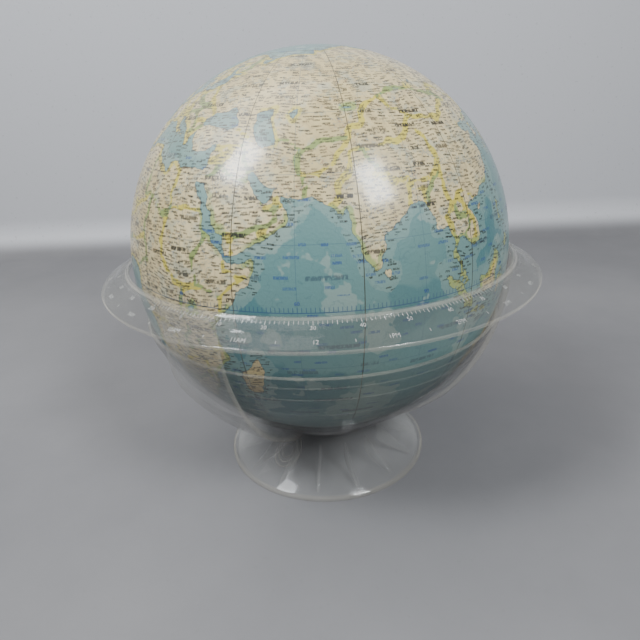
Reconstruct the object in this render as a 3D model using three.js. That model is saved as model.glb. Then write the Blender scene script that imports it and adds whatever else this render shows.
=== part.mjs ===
// Free-ball desk globe: a hollow map globe that lies loose in a clear cradle with a scale brim and a flared foot.
// Millimetres, +Z up. The origin is the centre of the foot's rim on the table. The front is -Y.
import * as THREE from 'three';
import { mergeVertices } from 'three/addons/utils/BufferGeometryUtils.js';

// Driving dimensions
const GLOBE_RADIUS = 152.4; // a 12 inch globe
const CENTRE_HEIGHT = 196.1; // the ball's centre above the table
const GAP = 0.3; // between pieces that touch
const PAPER = 0.3; // thickness of the printed map
const SHELL_WALL = 3;
const FRONT_LONGITUDE = 65.5; // degrees east, facing the front

// The globe's grid, in degrees: all its pieces share it, so that their facets stay parallel
const LATITUDE_STEP = 9;
const AZIMUTH_STEP = 10;
const GLOBE_SEGMENTS = 360 / AZIMUTH_STEP;

// The map's gores and polar discs
const GORE_COUNT = 12;
const GORE_WIDTH = 360 / GORE_COUNT;
const FIRST_SEAM_LONGITUDE = -15;
const DISC_LATITUDE = 72;

// The band that joins the ball's halves
const BAND_HALF_HEIGHT = 12;
const BAND_WALL = 2.5;

// The cradle
const CUP_INNER_RADIUS = 153.9;
const CUP_WALL = 2.6;
const CUP_RIM_LATITUDE = -17.5;
const ARM_AZIMUTHS = [-41, 79, 199];
const ARM_HALF_WIDTH = 16; // degrees
const ARM_TOP_LEFT = 1; // degrees left of its middle that the arm still covers at the brim
const ARM_RAKE_SPAN = [-10, -45]; // latitudes between which its left edge moves out to the full width
const ARM_THICKNESS = 4;
const ARM_TOP_LATITUDE = -8;
const ARM_TOP_CLEARANCE = 3.8; // between the ball and the arm at its top latitude
const ARM_BOW = 0.165; // how much further out the arm stands for each degree of latitude
const ARM_END_LATITUDE = -71;
const ARM_STEPS = 4;
const BRIM_SEGMENTS = 60;

// The foot
const HUB_LATITUDE = -72; // the hub's top follows the cup from here to the pole
const FOOT_TOP = 34.2;
const FOOT_RIM_RADIUS = 93.3;
const RIB_COUNT = 15;
const RIB_PHASE = -7;
const RIB_THICKNESS = 2;

const CLEAR = { color: 0xd8dcd4, roughness: 0.08, metalness: 0, transparent: true, opacity: 0.35 };
const BOARD = { color: 0xb9ad95, roughness: 0.9, metalness: 0 };
const MAP = { color: 0x7fa5a6, roughness: 0.3, metalness: 0 };

const globe = new THREE.Group();
globe.position.z = CENTRE_HEIGHT;
const cradle = new THREE.Group();
cradle.position.z = CENTRE_HEIGHT;
const foot = new THREE.Group();
const model = new THREE.Group();
model.add(globe, cradle, foot);

const rad = THREE.MathUtils.degToRad;

function addPart(group, name, geometry, look) {
  const mesh = new THREE.Mesh(geometry, new THREE.MeshStandardMaterial(look));
  mesh.name = name;
  group.add(mesh);
}

// A point at a distance from the ball's centre and a latitude, as [radius, height]
function polar(distance, latitude) {
  const radius = Math.abs(latitude) === 90 ? 0 : distance * Math.cos(rad(latitude));
  return [radius, distance * Math.sin(rad(latitude))];
}

// Points along a meridian from one latitude to another, both ends included
function meridian(distance, from, to, steps) {
  const points = [];
  for (let i = 0; i <= steps; i++) {
    points.push(polar(distance, from + ((to - from) * i) / steps));
  }
  return points;
}

// One closed body: shared vertices merged, empty triangles dropped, faces pointing out
function closedBody(geometry) {
  geometry.deleteAttribute('normal');
  geometry.deleteAttribute('uv');
  const merged = mergeVertices(geometry, 1e-3);
  const index = merged.getIndex().array;
  const corner = [new THREE.Vector3(), new THREE.Vector3(), new THREE.Vector3()];
  let triangles = [];
  let volume = 0;
  for (let i = 0; i < index.length; i += 3) {
    const [a, b, c] = [index[i], index[i + 1], index[i + 2]];
    if (a === b || b === c || c === a) {
      continue;
    }
    triangles.push([a, b, c]);
    [a, b, c].forEach((vertex, k) => corner[k].fromBufferAttribute(merged.getAttribute('position'), vertex));
    volume += corner[0].dot(corner[1].cross(corner[2]));
  }
  if (volume < 0) {
    triangles = triangles.map(([a, b, c]) => [a, c, b]);
  }
  merged.setIndex(triangles.flat());
  merged.computeVertexNormals();
  return merged;
}

// A closed outline of [radius, height] points turned all the way round Z
function turned(outline, segments) {
  const points = outline.map(([r, z]) => new THREE.Vector2(r, z));
  const last = outline[outline.length - 1];
  if (outline[0][0] > 0 || last[0] > 0) {
    points.push(points[0].clone());
  }
  return closedBody(new THREE.LatheGeometry(points, segments).rotateX(Math.PI / 2));
}

// A counter-clockwise outline turned from one azimuth to another. Azimuth 0 is -Y and grows towards +X.
// The first azimuth is a function of the radius and height, so that the body's first side may be raked.
function turnedSector(outline, from, to, steps) {
  const positions = [];
  const indices = [];
  const count = outline.length;
  for (let s = 0; s <= steps; s++) {
    outline.forEach(([r, z]) => {
      const start = from(r, z);
      const azimuth = rad(start + ((to - start) * s) / steps);
      positions.push(r * Math.sin(azimuth), -r * Math.cos(azimuth), z);
    });
  }
  for (let s = 0; s < steps; s++) {
    for (let i = 0; i < count; i++) {
      const a = s * count + i;
      const b = s * count + ((i + 1) % count);
      indices.push(a, b + count, b, a, a + count, b + count);
    }
  }
  const shape = outline.map(([r, z]) => new THREE.Vector2(r, z));
  for (const [a, b, c] of THREE.ShapeUtils.triangulateShape(shape, [])) {
    indices.push(a, b, c);
    indices.push(a + steps * count, c + steps * count, b + steps * count);
  }
  const geometry = new THREE.BufferGeometry();
  geometry.setAttribute('position', new THREE.Float32BufferAttribute(positions, 3));
  geometry.setIndex(indices);
  return closedBody(geometry);
}

// A flat radial plate with an outline of [radius, height] points, standing at an azimuth
function radialPlate(outline, thickness, azimuth) {
  const shape = new THREE.Shape(outline.map(([r, z]) => new THREE.Vector2(r, z)));
  const plate = new THREE.ExtrudeGeometry(shape, { depth: thickness, bevelEnabled: false });
  plate.translate(0, 0, -thickness / 2).rotateX(Math.PI / 2).rotateZ(rad(azimuth - 90));
  return closedBody(plate);
}

const shellRadius = GLOBE_RADIUS - PAPER - GAP;
const shellInner = shellRadius - SHELL_WALL;

// The ball's halves. Each stops half a gap short of the equator.
function addShell(name, side) {
  const rows = 90 / LATITUDE_STEP;
  const outline = [
    ...meridian(shellRadius, 0, 90, rows),
    ...meridian(shellInner, 90, 0, 4),
  ];
  const edge = GAP / 2;
  outline[0] = [shellRadius, edge];
  outline[outline.length - 1] = [shellInner, edge];
  addPart(globe, name, turned(outline.map(([r, z]) => [r, side * z]), GLOBE_SEGMENTS), BOARD);
}

function addJointBand() {
  const middle = shellInner - 1;
  const end = shellInner - 3.4;
  addPart(globe, 'globe_joint_band', turned([
    [end, -BAND_HALF_HEIGHT],
    [middle, 0],
    [end, BAND_HALF_HEIGHT],
    [end - BAND_WALL, BAND_HALF_HEIGHT],
    [middle - BAND_WALL, 0],
    [end - BAND_WALL, -BAND_HALF_HEIGHT],
  ], GLOBE_SEGMENTS), BOARD);
}

// One printed gore, pole disc to pole disc, half a gap short of its neighbours
function addGore(number) {
  const seam = FIRST_SEAM_LONGITUDE + (number - 1) * GORE_WIDTH - FRONT_LONGITUDE;
  const halfGap = THREE.MathUtils.radToDeg(GAP / 2 / (GLOBE_RADIUS * Math.cos(rad(DISC_LATITUDE))));
  const rows = (2 * DISC_LATITUDE) / LATITUDE_STEP;
  const outline = [
    ...meridian(GLOBE_RADIUS, -DISC_LATITUDE, DISC_LATITUDE, rows),
    ...meridian(GLOBE_RADIUS - PAPER, DISC_LATITUDE, -DISC_LATITUDE, rows),
  ];
  const name = `map_gore_${String(number).padStart(2, '0')}`;
  const columns = GORE_WIDTH / AZIMUTH_STEP;
  const geometry = turnedSector(outline, () => seam + halfGap, seam + GORE_WIDTH - halfGap, columns);
  addPart(globe, name, geometry, MAP);
}

function addPolarDisc(name, side) {
  const start = DISC_LATITUDE + THREE.MathUtils.radToDeg(GAP / GLOBE_RADIUS);
  const rim = DISC_LATITUDE + LATITUDE_STEP;
  const outline = [
    polar(GLOBE_RADIUS, start), polar(GLOBE_RADIUS, rim), polar(GLOBE_RADIUS, 90),
    polar(GLOBE_RADIUS - PAPER, 90), polar(GLOBE_RADIUS - PAPER, rim), polar(GLOBE_RADIUS - PAPER, start),
  ];
  addPart(globe, name, turned(outline.map(([r, z]) => [r, side * z]), GLOBE_SEGMENTS), MAP);
}

// The brim: a lip beside the ball, a zone for the degree scale, a step, a zone for the hours, and its outer edge
const BRIM_UNDER = [[156, -4.6], [166, -9.6], [176.6, -15.6]];
const BRIM_TOP = [
  [178, -14.6], [178, -13], [176.8, -11.9], [168, -7.4], [165.4, -5.2], [159.6, -2.4], [157.4, 0.2], [155.8, -0.6],
];

function addBrim() {
  addPart(cradle, 'horizon_ring', turned([...BRIM_UNDER, ...BRIM_TOP], BRIM_SEGMENTS), CLEAR);
}

function addCup() {
  const rows = 8;
  const outer = CUP_INNER_RADIUS + CUP_WALL;
  addPart(cradle, 'cradle_cup', turned([
    ...meridian(outer, -90, CUP_RIM_LATITUDE, rows),
    ...meridian(CUP_INNER_RADIUS, CUP_RIM_LATITUDE, -90, rows),
  ], GLOBE_SEGMENTS), CLEAR);
}

// An arm: a bowed strap from the brim's underside to the hub's side. Its right edge follows a meridian.
function addArm(number, azimuth) {
  const [brimStart, brimNext] = BRIM_UNDER;
  const slope = (brimNext[1] - brimStart[1]) / (brimNext[0] - brimStart[0]);
  const underBrim = (r) => brimStart[1] + slope * (r - brimStart[0]) - GAP - 0.2;
  const distance = (latitude) => GLOBE_RADIUS + ARM_TOP_CLEARANCE - ARM_BOW * (latitude - ARM_TOP_LATITUDE);
  const inner = [];
  const outer = [];
  for (let latitude = ARM_TOP_LATITUDE; latitude >= ARM_END_LATITUDE; latitude -= LATITUDE_STEP) {
    inner.push(polar(distance(latitude), latitude));
    outer.unshift(polar(distance(latitude) + ARM_THICKNESS, latitude));
  }
  const top = distance(-2);
  const end = inner[inner.length - 1][1];
  const hubSide = hubRadius + GAP;
  const outline = [
    [top + ARM_THICKNESS, underBrim(top + ARM_THICKNESS)],
    [top, underBrim(top)],
    ...inner,
    [hubSide, end + 0.5],
    [hubSide, end + 0.5 - ARM_THICKNESS],
    ...outer,
  ];
  const leftEdge = (r, z) => {
    const latitude = THREE.MathUtils.radToDeg(Math.atan2(z, r));
    const rake = THREE.MathUtils.clamp(THREE.MathUtils.inverseLerp(...ARM_RAKE_SPAN, latitude), 0, 1);
    return azimuth - THREE.MathUtils.lerp(ARM_TOP_LEFT, ARM_HALF_WIDTH, rake);
  };
  const geometry = turnedSector(outline, leftEdge, azimuth + ARM_HALF_WIDTH, ARM_STEPS);
  addPart(cradle, `cradle_arm_${number}`, geometry, CLEAR);
}

const hubDistance = CUP_INNER_RADIUS + CUP_WALL + GAP;
const hubRadius = polar(hubDistance, HUB_LATITUDE)[0];

// The hub between the foot and the cup: flat below, dished above
function addHub() {
  const dish = [-90, HUB_LATITUDE - LATITUDE_STEP, HUB_LATITUDE].map((latitude) => polar(hubDistance, latitude));
  const bottom = FOOT_TOP + GAP - CENTRE_HEIGHT;
  addPart(cradle, 'cradle_hub', turned([[0, bottom], [hubRadius, bottom], ...dish.reverse()], GLOBE_SEGMENTS), CLEAR);
}

// The foot's flare, from its flat top down to its rim, and back up inside
const FOOT_OUTER = [[0, FOOT_TOP], [50, FOOT_TOP], [52.5, 32.6], [58, 28.2], [68, 20.6], [80, 12], [91, 4.6]];
const FOOT_INNER = [[88.6, 1.6], [78, 9], [66, 17.6], [56, 25], [49, 30.4], [46, 31.2], [0, 31.2]];

function addFoot() {
  const rim = [[FOOT_RIM_RADIUS, 2.4], [FOOT_RIM_RADIUS, 0], [88.6, 0]];
  addPart(foot, 'foot_bell', turned([...FOOT_OUTER, ...rim, ...FOOT_INNER], GLOBE_SEGMENTS), CLEAR);
}

function addRibs() {
  const gap = 1;
  const outline = [
    [52, 28 - gap], [52, 12], [60, 6], [84, 2.6], [84, 4.8 - gap], [78, 9 - gap], [66, 17.6 - gap], [56, 25 - gap],
  ];
  for (let i = 0; i < RIB_COUNT; i++) {
    const name = `foot_rib_${String(i + 1).padStart(2, '0')}`;
    addPart(foot, name, radialPlate(outline, RIB_THICKNESS, RIB_PHASE + (i * 360) / RIB_COUNT), CLEAR);
  }
}

addShell('globe_north_shell', 1);
addShell('globe_south_shell', -1);
addJointBand();
for (let number = 1; number <= GORE_COUNT; number++) {
  addGore(number);
}
addPolarDisc('north_polar_disc', 1);
addPolarDisc('south_polar_disc', -1);
addBrim();
addCup();
addHub();
ARM_AZIMUTHS.forEach((azimuth, i) => addArm(i + 1, azimuth));
addFoot();
addRibs();

export default model;
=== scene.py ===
# Free-ball desk globe in a clear cradle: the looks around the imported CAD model. +Z is up and the front is -Y.
# Blender works in metres. The clear parts and the printing are given in millimetres and scaled by MM, with
# azimuths in degrees, counted from the front towards +X.
import math

import bmesh
import bpy
import numpy as np
from mathutils import Matrix, Vector


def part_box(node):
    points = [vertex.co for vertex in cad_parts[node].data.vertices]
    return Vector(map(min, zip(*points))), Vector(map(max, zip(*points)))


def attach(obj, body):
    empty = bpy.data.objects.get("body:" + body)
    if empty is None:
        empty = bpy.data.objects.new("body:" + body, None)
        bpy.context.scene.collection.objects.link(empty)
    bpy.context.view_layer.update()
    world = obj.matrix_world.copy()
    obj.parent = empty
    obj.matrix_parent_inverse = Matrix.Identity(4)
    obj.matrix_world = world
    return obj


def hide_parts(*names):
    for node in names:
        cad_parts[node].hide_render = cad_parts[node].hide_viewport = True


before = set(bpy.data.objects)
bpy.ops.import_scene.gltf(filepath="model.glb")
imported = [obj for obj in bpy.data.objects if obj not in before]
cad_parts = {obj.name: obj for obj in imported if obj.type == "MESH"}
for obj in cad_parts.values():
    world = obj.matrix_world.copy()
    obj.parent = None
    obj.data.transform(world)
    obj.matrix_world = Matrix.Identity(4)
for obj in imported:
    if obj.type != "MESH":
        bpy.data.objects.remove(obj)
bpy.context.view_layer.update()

MM = 0.001
SOUTH_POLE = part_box("south_polar_disc")[0].z
NORTH_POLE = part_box("north_polar_disc")[1].z
RADIUS = (NORTH_POLE - SOUTH_POLE) / 2
CENTRE_Z = (NORTH_POLE + SOUTH_POLE) / 2
CENTRE = Vector((0, 0, CENTRE_Z))
PAPER = 0.3 * MM  # thickness of the printed map
GAP = 0.3 * MM  # between map pieces that touch
FRONT_LONGITUDE = 65.5  # degrees east, facing the front
GORE_COUNT = 12
GORE_WIDTH = 360 / GORE_COUNT
FIRST_SEAM = -15  # longitude
DISC_LATITUDE = 72  # where the gores end and the polar discs begin
SHARP_PAPER = math.radians(40)  # edges of the map sheets at more than this angle stay sharp
SHARP_PLASTIC = math.radians(50)
GRID_STEP = 1  # degrees between the map mesh's vertices
TURN_STEPS = 180  # facets round every turned clear part
ON_AXIS = 1e-6  # a radius below this many millimetres counts as none


# ---------------------------------------------------------------- camera, lights and floor

def make_camera():
    """The view, worked out from the ball's outline and the ellipses of the brim and the foot in the photo."""
    offset = Vector((0, -2.807, 0.74))  # from the ball's centre, in ball radii
    pitch, yaw, roll = (math.radians(a) for a in (23.05, -0.33, -2.46))
    ahead = Vector((math.sin(yaw) * math.cos(pitch), math.cos(yaw) * math.cos(pitch), -math.sin(pitch)))
    level_right = ahead.cross(Vector((0, 0, 1))).normalized()
    level_up = level_right.cross(ahead)
    right = math.cos(roll) * level_right + math.sin(roll) * level_up
    up = -math.sin(roll) * level_right + math.cos(roll) * level_up
    data = bpy.data.cameras.new("camera")
    data.sensor_width = 36
    data.lens = 28.7
    camera = bpy.data.objects.new("camera", data)
    bpy.context.scene.collection.objects.link(camera)
    place = CENTRE + RADIUS * offset
    camera.matrix_world = Matrix.Translation(place) @ Matrix((right, up, -ahead)).transposed().to_4x4()
    bpy.context.scene.camera = camera


def area_light(name, direction, distance, size, power, tint):
    """A rectangular light that faces the ball's centre, in metres and watts."""
    data = bpy.data.lights.new(name, "AREA")
    data.shape = "RECTANGLE"
    data.size, data.size_y = size
    data.energy = power
    data.color = tint
    light = bpy.data.objects.new(name, data)
    bpy.context.scene.collection.objects.link(light)
    light.location = CENTRE + Vector(direction).normalized() * distance
    light.rotation_euler = (light.location - CENTRE).to_track_quat("Z", "Y").to_euler()


def make_lights():
    window = (1.7, (0.4, 0.6), 31, (0.93, 0.97, 1))
    area_light("window_left", (-0.568, -0.307, 0.763), *window)
    area_light("window_right", (0.469, -0.58, 0.666), *window)
    area_light("overhead", (-0.42, 0.3, 1), 2.3, (2.0, 2.0), 44, (1, 0.985, 0.96))
    world = bpy.data.worlds.new("studio")
    bpy.context.scene.world = world
    world.use_nodes = True
    background = world.node_tree.nodes["Background"]
    background.inputs["Color"].default_value = (0.78, 0.8, 0.84, 1)
    background.inputs["Strength"].default_value = 0.22


def new_mesh_object(name, vertices, faces):
    mesh = bpy.data.meshes.new(name)
    mesh.from_pydata([tuple(v) for v in vertices], [], faces)
    mesh.update()
    obj = bpy.data.objects.new(name, mesh)
    bpy.context.scene.collection.objects.link(obj)
    return obj


def make_floor():
    """A floor that curves up into a wall well behind the object."""
    width, front, bend_start, bend, height, steps = 4.0, -3.0, 0.72, 0.08, 3.0, 12
    profile = [(front, 0)]
    for i in range(steps + 1):
        angle = math.pi / 2 * i / steps
        profile.append((bend_start + bend * math.sin(angle), bend * (1 - math.cos(angle))))
    profile.append((bend_start + bend, height))
    vertices = [(x, y, z) for y, z in profile for x in (-width, width)]
    faces = [(2 * i, 2 * i + 1, 2 * i + 3, 2 * i + 2) for i in range(len(profile) - 1)]
    floor = new_mesh_object("floor", vertices, faces)
    floor.data.shade_smooth()
    floor.data.materials.append(floor_material())


# ---------------------------------------------------------------- shader graphs

class Graph:
    """A small helper that adds nodes to a material and links them."""

    def __init__(self, name):
        self.material = bpy.data.materials.new(name)
        self.material.use_nodes = True
        self.tree = self.material.node_tree
        self.shader = self.tree.nodes["Principled BSDF"]
        self.coords = None

    def put(self, socket, value):
        """Feeds a socket from another socket, or sets it to a constant."""
        if isinstance(value, bpy.types.NodeSocket):
            self.tree.links.new(value, socket)
        elif value is not None:
            if socket.type == "RGBA" and len(value) == 3:
                value = (*value, 1)
            socket.default_value = value

    def node(self, kind, **settings):
        node = self.tree.nodes.new(kind)
        for key, value in settings.items():
            setattr(node, key, value)
        return node

    def math(self, operation, a, b=None):
        node = self.node("ShaderNodeMath", operation=operation)
        self.put(node.inputs[0], a)
        self.put(node.inputs[1], b)
        return node.outputs[0]

    def add(self, *terms):
        total = terms[0]
        for term in terms[1:]:
            total = self.math("ADD", total, term)
        return total

    def times(self, *factors):
        total = factors[0]
        for factor in factors[1:]:
            total = self.math("MULTIPLY", total, factor)
        return total

    def ramp(self, value, low, high, out_low=0.0, out_high=1.0):
        """A smooth step from out_low, at low, to out_high, at high."""
        node = self.node("ShaderNodeMapRange", interpolation_type="SMOOTHSTEP")
        self.put(node.inputs["Value"], value)
        node.inputs["From Min"].default_value = low
        node.inputs["From Max"].default_value = high
        node.inputs["To Min"].default_value = out_low
        node.inputs["To Max"].default_value = out_high
        return node.outputs[0]

    def near(self, value, width, soft):
        """1 where the value is within width of zero, falling to 0 over soft."""
        return self.ramp(self.math("ABSOLUTE", value), width, width + soft, 1.0, 0.0)

    def mix(self, factor, a, b):
        """From colour a to colour b. The node's colour sockets share their names, so they go by number."""
        node = self.node("ShaderNodeMix", data_type="RGBA")
        for socket, value in ((0, factor), (6, a), (7, b)):
            self.put(node.inputs[socket], value)
        return node.outputs[2]

    def cover(self, colour, mask, share, paint):
        """The colour with some of the paint over it where the mask is 1."""
        return self.mix(self.times(mask, share), colour, paint)

    def position(self):
        """The place in the piece's own coordinates, in metres."""
        if self.coords is None:
            self.coords = self.node("ShaderNodeTexCoord").outputs["Object"]
        return self.coords

    def noise(self, scale, detail=4.0, roughness=0.55, vector=None):
        node = self.node("ShaderNodeTexNoise")
        self.put(node.inputs["Vector"], vector or self.position())
        node.inputs["Scale"].default_value = scale
        node.inputs["Detail"].default_value = detail
        node.inputs["Roughness"].default_value = roughness
        return node.outputs["Fac"]

    def combine(self, *parts):
        node = self.node("ShaderNodeCombineXYZ")
        for socket, part in zip(node.inputs, parts):
            self.put(socket, part)
        return node.outputs[0]

    def separate(self, vector):
        node = self.node("ShaderNodeSeparateXYZ")
        self.put(node.inputs[0], vector)
        return tuple(node.outputs)

    def attribute(self, name):
        return self.separate(self.node("ShaderNodeAttribute", attribute_name=name).outputs["Vector"])

    def random(self, vector):
        """Three random numbers that depend only on the vector."""
        node = self.node("ShaderNodeTexWhiteNoise", noise_dimensions="3D")
        self.put(node.inputs["Vector"], vector)
        return self.separate(node.outputs["Color"])

    def bump(self, height, strength, distance):
        node = self.node("ShaderNodeBump")
        self.put(node.inputs["Height"], height)
        node.inputs["Strength"].default_value = strength
        node.inputs["Distance"].default_value = distance
        self.put(self.shader.inputs["Normal"], node.outputs["Normal"])

    def set(self, **values):
        """Sets inputs of the material's main shader by name."""
        for key, value in values.items():
            self.put(self.shader.inputs[key.replace("_", " ")], value)


def floor_material():
    g = Graph("pale_floor")
    tone = g.ramp(g.noise(2.2, 6.0, 0.6), 0.3, 0.7)
    base = g.mix(tone, (0.145, 0.143, 0.149), (0.185, 0.182, 0.187))
    _, _, height = g.separate(g.position())
    base = g.mix(g.ramp(height, 0.005, 0.04), base, (0.5, 0.5, 0.52))  # the wall is paler than the floor
    specks = g.ramp(g.noise(150, 3.0), 0.62, 0.72)
    g.set(Base_Color=g.cover(base, specks, 0.25, (0.15, 0.147, 0.147)), Roughness=0.62)
    g.bump(g.noise(60, 6.0), 0.12, 0.002)
    return g.material


def clear_material(name, haze, edge_haze, tint):
    """Clear moulded plastic, as a thin veil: see-through face on, milkier at a slant, with scuffs and smears.
    The gloss fades with the veil, and an index of refraction above the plastic's own makes up for that."""
    gloss_index = 1.8
    g = Graph(name)
    scuffs = g.ramp(g.noise(420, 5.0, 0.7), 0.60, 0.74)
    smears = g.ramp(g.noise(28, 5.0, 0.65), 0.45, 0.75)
    facing = g.node("ShaderNodeLayerWeight").outputs["Facing"]
    seen = g.ramp(facing, 0.35, 1.0, haze, edge_haze)
    seen = g.add(seen, g.times(scuffs, 0.05), g.times(smears, 0.02))
    g.set(Base_Color=g.mix(smears, tint, tuple(1.3 * c for c in tint)), Alpha=seen, IOR=gloss_index)
    g.set(Roughness=g.add(0.07, g.times(scuffs, 0.2), g.times(smears, 0.08)))
    g.bump(g.add(g.noise(22, 2.0), g.times(scuffs, 0.02)), 0.22, 0.0006)
    return g.material


def ink_material(name, worn_colour, full_colour, roughness):
    g = Graph(name)
    worn = g.ramp(g.noise(900, 3.0), 0.35, 0.6)
    g.set(Base_Color=g.mix(worn, worn_colour, full_colour), Roughness=roughness)
    return g.material


def board_material():
    g = Graph("shell_board")
    fibre = g.noise(900, 6.0, 0.7)
    g.set(Base_Color=g.mix(fibre, (0.36, 0.3, 0.2), (0.56, 0.5, 0.38)), Roughness=0.9)
    g.bump(fibre, 0.3, 0.0003)
    return g.material


def label_marks(g, longitude, latitude, pitch, cell, height, density, seed, grain=4.2):
    """Rows of short broken dashes where a printed map has its small names. They spell nothing.

    The rows are pitch degrees of latitude apart and cut into cells, each with a dash or nothing. height is a
    dash's share of the pitch, density the share of cells with a dash, and grain the strokes' fineness."""
    shifted = g.add(g.math("DIVIDE", latitude, pitch), 100.0 + seed)
    row = g.math("FLOOR", shifted)
    row_latitude = g.times(g.add(row, -100.0 - seed), pitch * math.pi / 180)
    across = g.add(g.times(longitude, g.math("COSINE", row_latitude), 1 / cell), g.times(row, 0.371))
    column = g.math("FLOOR", across)
    start, length, chance = g.random(g.combine(column, row, seed))
    lift, _, tone = g.random(g.combine(column, row, seed + 7.3))
    along = g.math("SUBTRACT", across, column)
    after_start = g.math("GREATER_THAN", along, g.times(start, 0.3))
    end = g.add(g.times(start, 0.3), 0.28, g.times(length, 0.42))
    inside = g.times(after_start, g.math("LESS_THAN", along, end))
    level = g.add(g.math("SUBTRACT", shifted, row), -0.5, g.times(g.add(lift, -0.5), -0.5))
    line = g.near(level, height / 2, 0.06)
    strokes = g.noise(1.0, 2.0, 0.8, g.combine(g.times(across, cell * grain), g.times(shifted, 2.6), seed))
    present = g.math("LESS_THAN", chance, density)
    return g.times(inside, line, g.ramp(strokes, 0.41, 0.50), present, g.add(0.65, g.times(tone, 0.35)))


def map_material():
    """A varnished political map: seas with a paler shelf, cream land, green and yellow borders, a grid and
    small marks. Distances to the coast and to the borders are in degrees."""
    g = Graph("map_print")
    longitude, latitude, seam = g.attribute("place")
    coast, border, tint = g.attribute("fields")
    crinkle = g.noise(95, 7.0, 0.62)
    shore = g.add(coast, g.times(g.add(crinkle, -0.5), 2.6))
    land = g.ramp(shore, -0.05, 0.05)

    # The sea: two depths, a paler shelf along the coasts, ridges, and contour lines round them
    depth = g.ramp(g.noise(17, 3.0, 0.5), 0.44, 0.47)
    sea = g.mix(depth, (0.068, 0.184, 0.196), (0.112, 0.232, 0.228))
    shelf = g.ramp(g.add(shore, g.times(g.noise(40, 6.0, 0.7), 3.4)), -1.0, -0.8)
    sea = g.cover(sea, shelf, 0.5, (0.22, 0.33, 0.295))
    ridges = g.ramp(g.noise(26, 4.0, 0.55), 0.56, 0.575)
    sea = g.cover(sea, ridges, 0.62, (0.27, 0.355, 0.315))
    contours = g.near(g.math("PINGPONG", g.noise(26, 4.0, 0.55), 0.045), 0.002, 0.002)
    sea = g.cover(sea, contours, 0.22, (0.03, 0.09, 0.13))

    # The land: cream, with relief, highlands, bands along borders and coasts, rivers and roads
    broad = g.noise(9, 4.0, 0.6)
    earth = g.mix(g.ramp(broad, 0.35, 0.65), (0.56, 0.45, 0.21), (0.69, 0.58, 0.33))
    relief = g.ramp(g.noise(130, 5.0, 0.65), 0.42, 0.68)
    earth = g.cover(earth, relief, 0.5, (0.36, 0.28, 0.15))
    highland = g.ramp(g.noise(75, 6.0, 0.7), 0.5, 0.62)
    earth = g.cover(earth, highland, 0.45, (0.28, 0.36, 0.33))
    band_colour = g.mix(g.ramp(tint, 0.35, 0.65), (0.2, 0.29, 0.07), (0.55, 0.46, 0.04))
    wander = g.add(border, g.times(g.add(g.noise(70, 4.0), -0.5), 1.6))
    band = g.near(wander, 0.52, 0.2)
    earth = g.cover(earth, band, 0.85, band_colour)
    patches = g.ramp(g.noise(14, 2.0), 0.43, 0.48)
    coast_colour = g.mix(g.ramp(g.noise(6, 1.0), 0.47, 0.5), (0.26, 0.36, 0.10), (0.58, 0.49, 0.07))
    coast_band = g.times(g.ramp(shore, 1.25, 0.7), patches)
    earth = g.cover(earth, coast_band, 0.8, coast_colour)
    earth = g.cover(earth, g.near(wander, 0.03, 0.05), 0.7, (0.06, 0.05, 0.04))
    rivers = g.near(g.add(g.noise(38, 5.0, 0.6), -0.5), 0.0022, 0.0025)
    earth = g.cover(earth, rivers, 0.6, (0.08, 0.18, 0.26))
    roads = g.near(g.add(g.noise(61, 3.0, 0.6), -0.47), 0.0022, 0.0025)
    earth = g.cover(earth, roads, 0.45, (0.25, 0.09, 0.05))

    colour = g.mix(land, sea, earth)
    coast_line = g.near(shore, 0.05, 0.06)
    colour = g.cover(colour, coast_line, 0.7, (0.03, 0.07, 0.09))

    # A grid every 15 degrees, and the equator with a tick at each degree
    stretch = g.math("COSINE", g.times(latitude, math.pi / 180))
    meridian = g.times(g.math("PINGPONG", g.add(longitude, 360.0), 7.5), stretch)
    parallel = g.math("PINGPONG", g.add(latitude, 180.0), 7.5)
    grid = g.math("MAXIMUM", g.near(meridian, 0.05, 0.06), g.near(parallel, 0.05, 0.06))
    colour = g.cover(colour, grid, 0.5, (0.05, 0.11, 0.16))
    equator = g.near(latitude, 0.09, 0.06)
    degree = g.near(g.math("PINGPONG", g.add(longitude, 360.0), 0.5), 0.07, 0.05)
    ticks = g.times(degree, g.ramp(g.math("ABSOLUTE", g.add(latitude, -0.6)), 0.6, 0.7, 1.0, 0.0))
    colour = g.cover(colour, g.math("MAXIMUM", equator, ticks), 0.7, (0.02, 0.07, 0.17))

    # Small names, thickest along the coasts. At sea they leave room for the numbers along the equator.
    near_coast = g.ramp(coast, -2.7, -1.2, 0.0, 0.7)
    off_equator = g.ramp(g.math("ABSOLUTE", g.add(latitude, -1.7)), 1.9, 2.1)
    by_equator = g.math("MAXIMUM", off_equator, land)
    density = g.times(g.math("MAXIMUM", near_coast, g.times(land, 0.86)), by_equator)
    slant = g.add(latitude, g.times(g.add(g.noise(15, 2.0), -0.5), 7.0))
    small = label_marks(g, longitude, slant, 0.8, 3.3, 0.42, density, 3.0)
    extra = label_marks(g, longitude, slant, 1.07, 2.5, 0.32, g.times(density, 0.8), 11.0)
    names = label_marks(g, longitude, latitude, 4.7, 9.5, 0.15, g.times(land, 0.55), 31.0, 1.9)
    black = g.math("MAXIMUM", g.math("MAXIMUM", small, extra), names)
    colour = g.mix(black, colour, (0.012, 0.011, 0.01))
    sea_marks = label_marks(g, longitude, latitude, 2.3, 5.2, 0.24, 0.34, 23.0)
    sea_names = label_marks(g, longitude, latitude, 6.1, 14.0, 0.11, 0.4, 41.0, 1.7)
    open_sea = g.math("SUBTRACT", 1.0, land)
    colour = g.cover(colour, g.times(sea_marks, open_sea, by_equator), 0.85, (0.02, 0.07, 0.22))
    colour = g.cover(colour, g.times(sea_names, open_sea, by_equator), 0.65, (0.02, 0.035, 0.07))

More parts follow.
